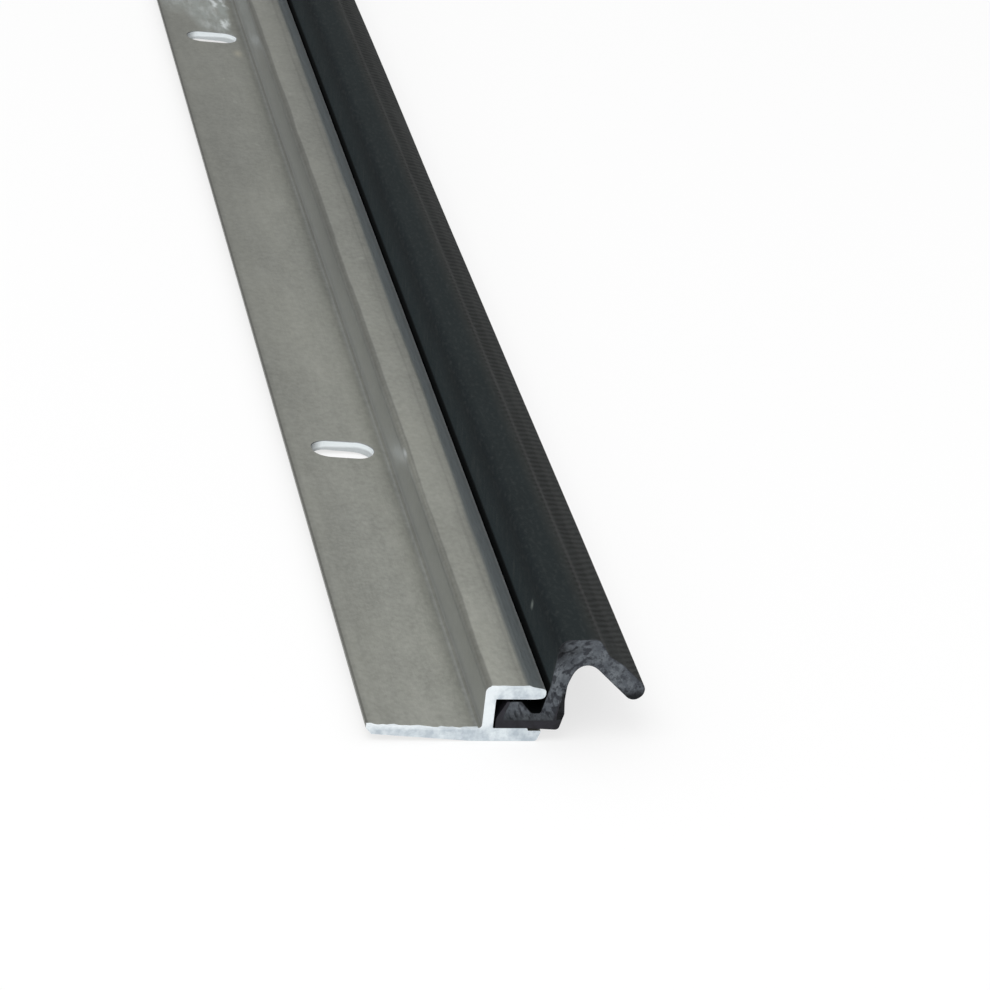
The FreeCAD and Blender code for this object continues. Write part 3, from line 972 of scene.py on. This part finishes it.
def makeSpongeSkin():
    material, tree, shader = newMaterial("spongeSkin")
    x, y, z = axes(tree)
    tone = mixTone(tree, fade(tree, z, *sponge["shoulderUp"]), sponge["stem"], sponge["shoulder"])
    tone = mixTone(tree, fade(tree, x, *sponge["crownX"]), tone, sponge["crown"])
    tone = mixTone(tree, fade(tree, x, *sponge["lipX"]), tone, sponge["lip"])
    tone = layTones(tree, tone, sponge, sponge["layers"])
    ribs = lipRibs(tree)
    tone = shade(tree, tone, ribs, sponge["ribs"]["level"])
    # light dots in a line where the crown turns into the lip
    dots = sponge["dots"]
    mask = product(tree, band(tree, x, *dots["x"]), pattern(tree, dots), dots["share"])
    tone = mixTone(tree, mask, tone, sponge["dustTone"])
    # slanted hatching low on the stem
    hatch = sponge["hatch"]
    turned = {"Vector": objectPlace(tree), "Rotation": (hatch["turn"], 0, 0)}
    slant = pattern(tree, hatch, addNode(tree, "ShaderNodeMapping", turned).outputs[0])
    flank = product(tree, band(tree, z, *hatch["up"]), fade(tree, x, *sponge["stemX"]))
    tone = mixTone(tree, product(tree, slant, flank, hatch["share"]), tone, sponge["dustTone"])
    # a pale speck on the shoulder, and painted shade where the stem leaves the channel
    outer = fade(tree, x, *sponge["outerX"])
    speck = sponge["speck"]
    mask = product(tree, band(tree, y, *speck["y"]), band(tree, z, *speck["up"]), outer)
    tone = mixTone(tree, mask, tone, speck["tone"])
    line = sponge["gapShade"]
    tone = shade(tree, tone, product(tree, fade(tree, z, *line["up"]), outer), line["level"])
    setInput(tree, shader, "Base Color", tone)
    setInput(tree, shader, "Roughness", sponge["skinRough"])
    setInput(tree, shader, "Specular IOR Level", sponge["skinGloss"])
    ribbed = relief(tree, ribs, sponge["ribs"]["depth"], sponge["ribs"]["strength"])
    setInput(tree, shader, "Normal", bumps(tree, sponge["skinBumps"], ribbed))
    return material


def flowPlace(tree):
    # distance from the arch's centre and travel round it, so that a texture runs with the form
    x, y, z = axes(tree)
    archX, archZ = sponge["cut"]["arch"]
    across = maths(tree, "SUBTRACT", x, archX * mm)
    upward = maths(tree, "SUBTRACT", z, archZ * mm)
    square = maths(tree, "ADD", product(tree, across, across), product(tree, upward, upward))
    reach = maths(tree, "POWER", square, 0.5)
    travel = product(tree, maths(tree, "ARCTAN2", upward, across), sponge["cut"]["archReach"] * mm)
    return addNode(tree, "ShaderNodeCombineXYZ", {0: reach, 1: travel, 2: y}).outputs[0]


def makeSpongeCut():
    material, tree, shader = newMaterial("spongeCut")
    x, _, z = axes(tree)
    cut = sponge["cut"]
    flow = flowPlace(tree)
    tone = mixTone(tree, pattern(tree, cut["cloudy"]), cut["tone"], cut["dark"])
    stretched = product(tree, pattern(tree, cut["stretched"], flow), cut["stretched"]["share"])
    tone = mixTone(tree, stretched, tone, cut["dark"])
    for layer, at in ((cut["pores"], flow), (cut["specks"], None)):
        share = fade(tree, x, *layer["x"], *layer["shares"])
        tone = mixTone(tree, product(tree, pattern(tree, layer, at), share), tone, cut["pore"])
    # painted shade beside the anchor's blade and low on the foot, and darker at the crown's corner
    lean = product(tree, z, cut["bladeLean"])
    blade = maths(tree, "SUBTRACT", wander(tree, x, *cut["bladeWander"]), lean)
    blade = product(tree, fade(tree, blade, *cut["blade"]), fade(tree, z, *cut["bladeUp"]))
    tone = shade(tree, tone, blade, cut["bladeShade"])
    corner = fade(tree, wander(tree, x, *cut["cornerWander"]), *cut["corner"])
    tone = shade(tree, tone, product(tree, corner, fade(tree, z, *cut["cornerUp"])), cut["cornerLevel"])
    tone = shade(tree, tone, band(tree, z, *cut["foot"]), cut["footShade"])
    outline = addNode(tree, "ShaderNodeAttribute", attribute_name="rim").outputs["Fac"]
    tone = mixTone(tree, product(tree, outline, cut["rimShare"]), tone, cut["rim"])
    setInput(tree, shader, "Base Color", tone)
    setInput(tree, shader, "Roughness", cut["rough"])
    setInput(tree, shader, "Specular IOR Level", cut["gloss"])
    setInput(tree, shader, "Normal", bumps(tree, cut["bumps"]))
    return material


def makeSpongeSeal():
    piece = traceSection("spongeStrip", sponge["outline"])
    gridSection(piece, sponge["pitch"])
    runAlong(piece, sponge["rings"])
    coverPiece(piece, makeSpongeSkin(), makeSpongeCut(), sponge["smooth"])
    sliceSize, sliceDepth = sponge["slices"]
    cellSize, cellDepth = sponge["cells"]
    roughenCuts(piece, (
        (unevenTexture("slicedUneven", sliceSize), sliceDepth),
        (cellTexture("openCells", cellSize, *sponge["cellEdge"]), cellDepth),
    ))
    lip = piece.vertex_groups.new(name="lip")
    start, end = sponge["waveX"]
    for point in piece.data.vertices:
        reach = (point.co.x / mm - start) / (end - start)
        if reach > 0:
            lip.add([point.index], min(1.0, reach), "REPLACE")
    waveLength, waveDepth = sponge["wave"]
    pressIn(piece, "lip", "X", waveDepth, unevenTexture("lipWander", waveLength))
    return piece


spongeStrip = makeSpongeSeal()
print("sponge seal:", len(spongeStrip.data.polygons), "faces")


# Anchor strip: the firm dark layer under the seal's foot

anchor = {
    "outline": [
        (-1.062, 1.640, 0.12),
        (2.608, 1.640, 0),
        (6.178, 1.460, 0.45),
        (6.467, 2.640, 0),
        (5.748, 2.640, 0),
        (6.038, 5.490, 0),
        (5.468, 2.640, 0),
        (-0.222, 2.640, 0),
        (-0.222, 3.240, 0),
        (0.318, 4.980, 0),
        (0.018, 4.980, 0),
        (-1.062, 2.840, 1.2),
    ],
    "pitch": 0.18,
    "rings": 11,
    "smooth": 32,
    "slices": (1.5, 0.08),
    "skin": (0.014, 0.013, 0.017, 1),
    "skinRough": 0.5,
    "cut": (0.014, 0.0135, 0.019, 1),
    "cutRough": 0.65,
    "gloss": 0.3,
    "mottle": {"perMm": (1.1, 1.1, 1.1), "seed": 3},
    "darker": 0.5,
    "noseUp": (2.6, 3.4),
    "noseShare": 0.5,
    "nosePaler": 1.7,
    "bumps": {"perMm": (6, 2, 6), "seed": 2, "depth": 0.015, "strength": 0.6},
}


def scaled(tint, times):
    return [value * times for value in tint[:3]] + [1]


def makeAnchorRubber(name, tint, roughness):
    material, tree, shader = newMaterial(name)
    _, _, z = axes(tree)
    tone = mixTone(tree, pattern(tree, anchor["mottle"]), tint, scaled(tint, anchor["darker"]))
    nose = product(tree, fade(tree, z, *anchor["noseUp"]), anchor["noseShare"])
    tone = mixTone(tree, nose, tone, scaled(tint, anchor["nosePaler"]))
    setInput(tree, shader, "Base Color", tone)
    setInput(tree, shader, "Roughness", roughness)
    setInput(tree, shader, "Specular IOR Level", anchor["gloss"])
    setInput(tree, shader, "Normal", bumps(tree, anchor["bumps"]))
    return material


def makeAnchorStrip():
    piece = traceSection("anchorStrip", anchor["outline"])
    gridSection(piece, anchor["pitch"])
    runAlong(piece, anchor["rings"])
    skin = makeAnchorRubber("anchorSkin", anchor["skin"], anchor["skinRough"])
    cut = makeAnchorRubber("anchorCut", anchor["cut"], anchor["cutRough"])
    coverPiece(piece, skin, cut, anchor["smooth"])
    size, depth = anchor["slices"]
    roughenCuts(piece, ((unevenTexture("slicedSmooth", size), depth),))
    return piece


anchorStrip = makeAnchorStrip()
print("anchor strip:", len(anchorStrip.data.polygons), "faces")

for piece, node, slot in (
    (carrierStrip, "carrier", "carrier_aluminium"),
    (spongeStrip, "sponge_seal", "seal_sponge"),
    (anchorStrip, "anchor_strip", "anchor_rubber"),
):
    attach(piece, "root")
    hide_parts(node)


# Floor, light and camera, in metres

studio = {
    "floorSize": 8.0,
    "floorZ": -0.00005,  # just under the strip
    "floorTone": (0.93, 0.93, 0.93, 1),
    "floorRough": 0.9,
    "floorGlow": 0.70,  # how much of the floor stays white where the strip shades it
    "skyBand": (0.28, 0.50),  # the sky brightens between these heights
    "skyShades": (0.55, 1.15),
    "skyLevel": 0.68,
    "lamps": (
        {"name": "overhead", "at": (-0.5, -0.9, 1.3), "target": (0, -0.4, 0), "size": 1.2, "power": 8},
        {"name": "front", "at": (0.1, -1.7, 0.5), "target": (0, -0.45, 0), "size": 0.8, "power": 4.5},
    ),
    "cameraAt": (-0.087976, -0.817959, 0.210684),
    "cameraTurn": (63.9206, -6.1148, -10.0881),
    "lens": 138.640,
    "sensor": 36,
    "clipStart": 0.01,
}


def makeFloor():
    clearSelection()
    bpy.ops.mesh.primitive_plane_add(size=studio["floorSize"], location=(0, 0, studio["floorZ"]))
    floor = bpy.context.object
    floor.name = "floor"
    material, tree, shader = newMaterial("paleFloor")
    setInput(tree, shader, "Base Color", studio["floorTone"])
    setInput(tree, shader, "Roughness", studio["floorRough"])
    path = addNode(tree, "ShaderNodeLightPath").outputs
    seen = maths(tree, "MAXIMUM", path["Is Camera Ray"], path["Is Glossy Ray"])
    seen = maths(tree, "MAXIMUM", seen, path["Is Transmission Ray"])
    white = addNode(tree, "ShaderNodeEmission", {"Color": grey(1), "Strength": 1.0}).outputs[0]
    share = product(tree, seen, studio["floorGlow"])
    mix = addNode(tree, "ShaderNodeMixShader", {0: share, 1: shader.outputs[0], 2: white}).outputs[0]
    tree.links.new(mix, tree.nodes["Material Output"].inputs["Surface"])
    floor.data.materials.append(material)


def makeSky():
    world = bpy.data.worlds.new("studio")
    bpy.context.scene.world = world
    world.use_nodes = True
    tree = world.node_tree
    direction = addNode(tree, "ShaderNodeTexCoord").outputs["Generated"]
    height = addNode(tree, "ShaderNodeSeparateXYZ", {0: direction}).outputs["Z"]
    background = tree.nodes["Background"]
    setInput(tree, background, "Color", spread(tree, height, *studio["skyBand"], *studio["skyShades"]))
    setInput(tree, background, "Strength", studio["skyLevel"])


def addLamp(name, at, target, size, power):
    clearSelection()
    bpy.ops.object.light_add(type="AREA", location=at)
    lamp = bpy.context.object
    lamp.name = name
    lamp.data.shape = "DISK"
    lamp.data.size = size
    lamp.data.energy = power
    lamp.rotation_euler = (Vector(target) - Vector(at)).to_track_quat("-Z", "Y").to_euler()


def makeCamera():
    clearSelection()
    bpy.ops.object.camera_add(location=studio["cameraAt"])
    camera = bpy.context.object
    camera.name = "photoView"
    camera.rotation_euler = [math.radians(turn) for turn in studio["cameraTurn"]]
    camera.data.lens = studio["lens"]
    camera.data.sensor_width = studio["sensor"]
    camera.data.clip_start = studio["clipStart"]
    bpy.context.scene.camera = camera


makeFloor()
makeSky()
for lamp in studio["lamps"]:
    addLamp(**lamp)
makeCamera()
bpy.context.scene.view_settings.view_transform = "Standard"
print("stage set")
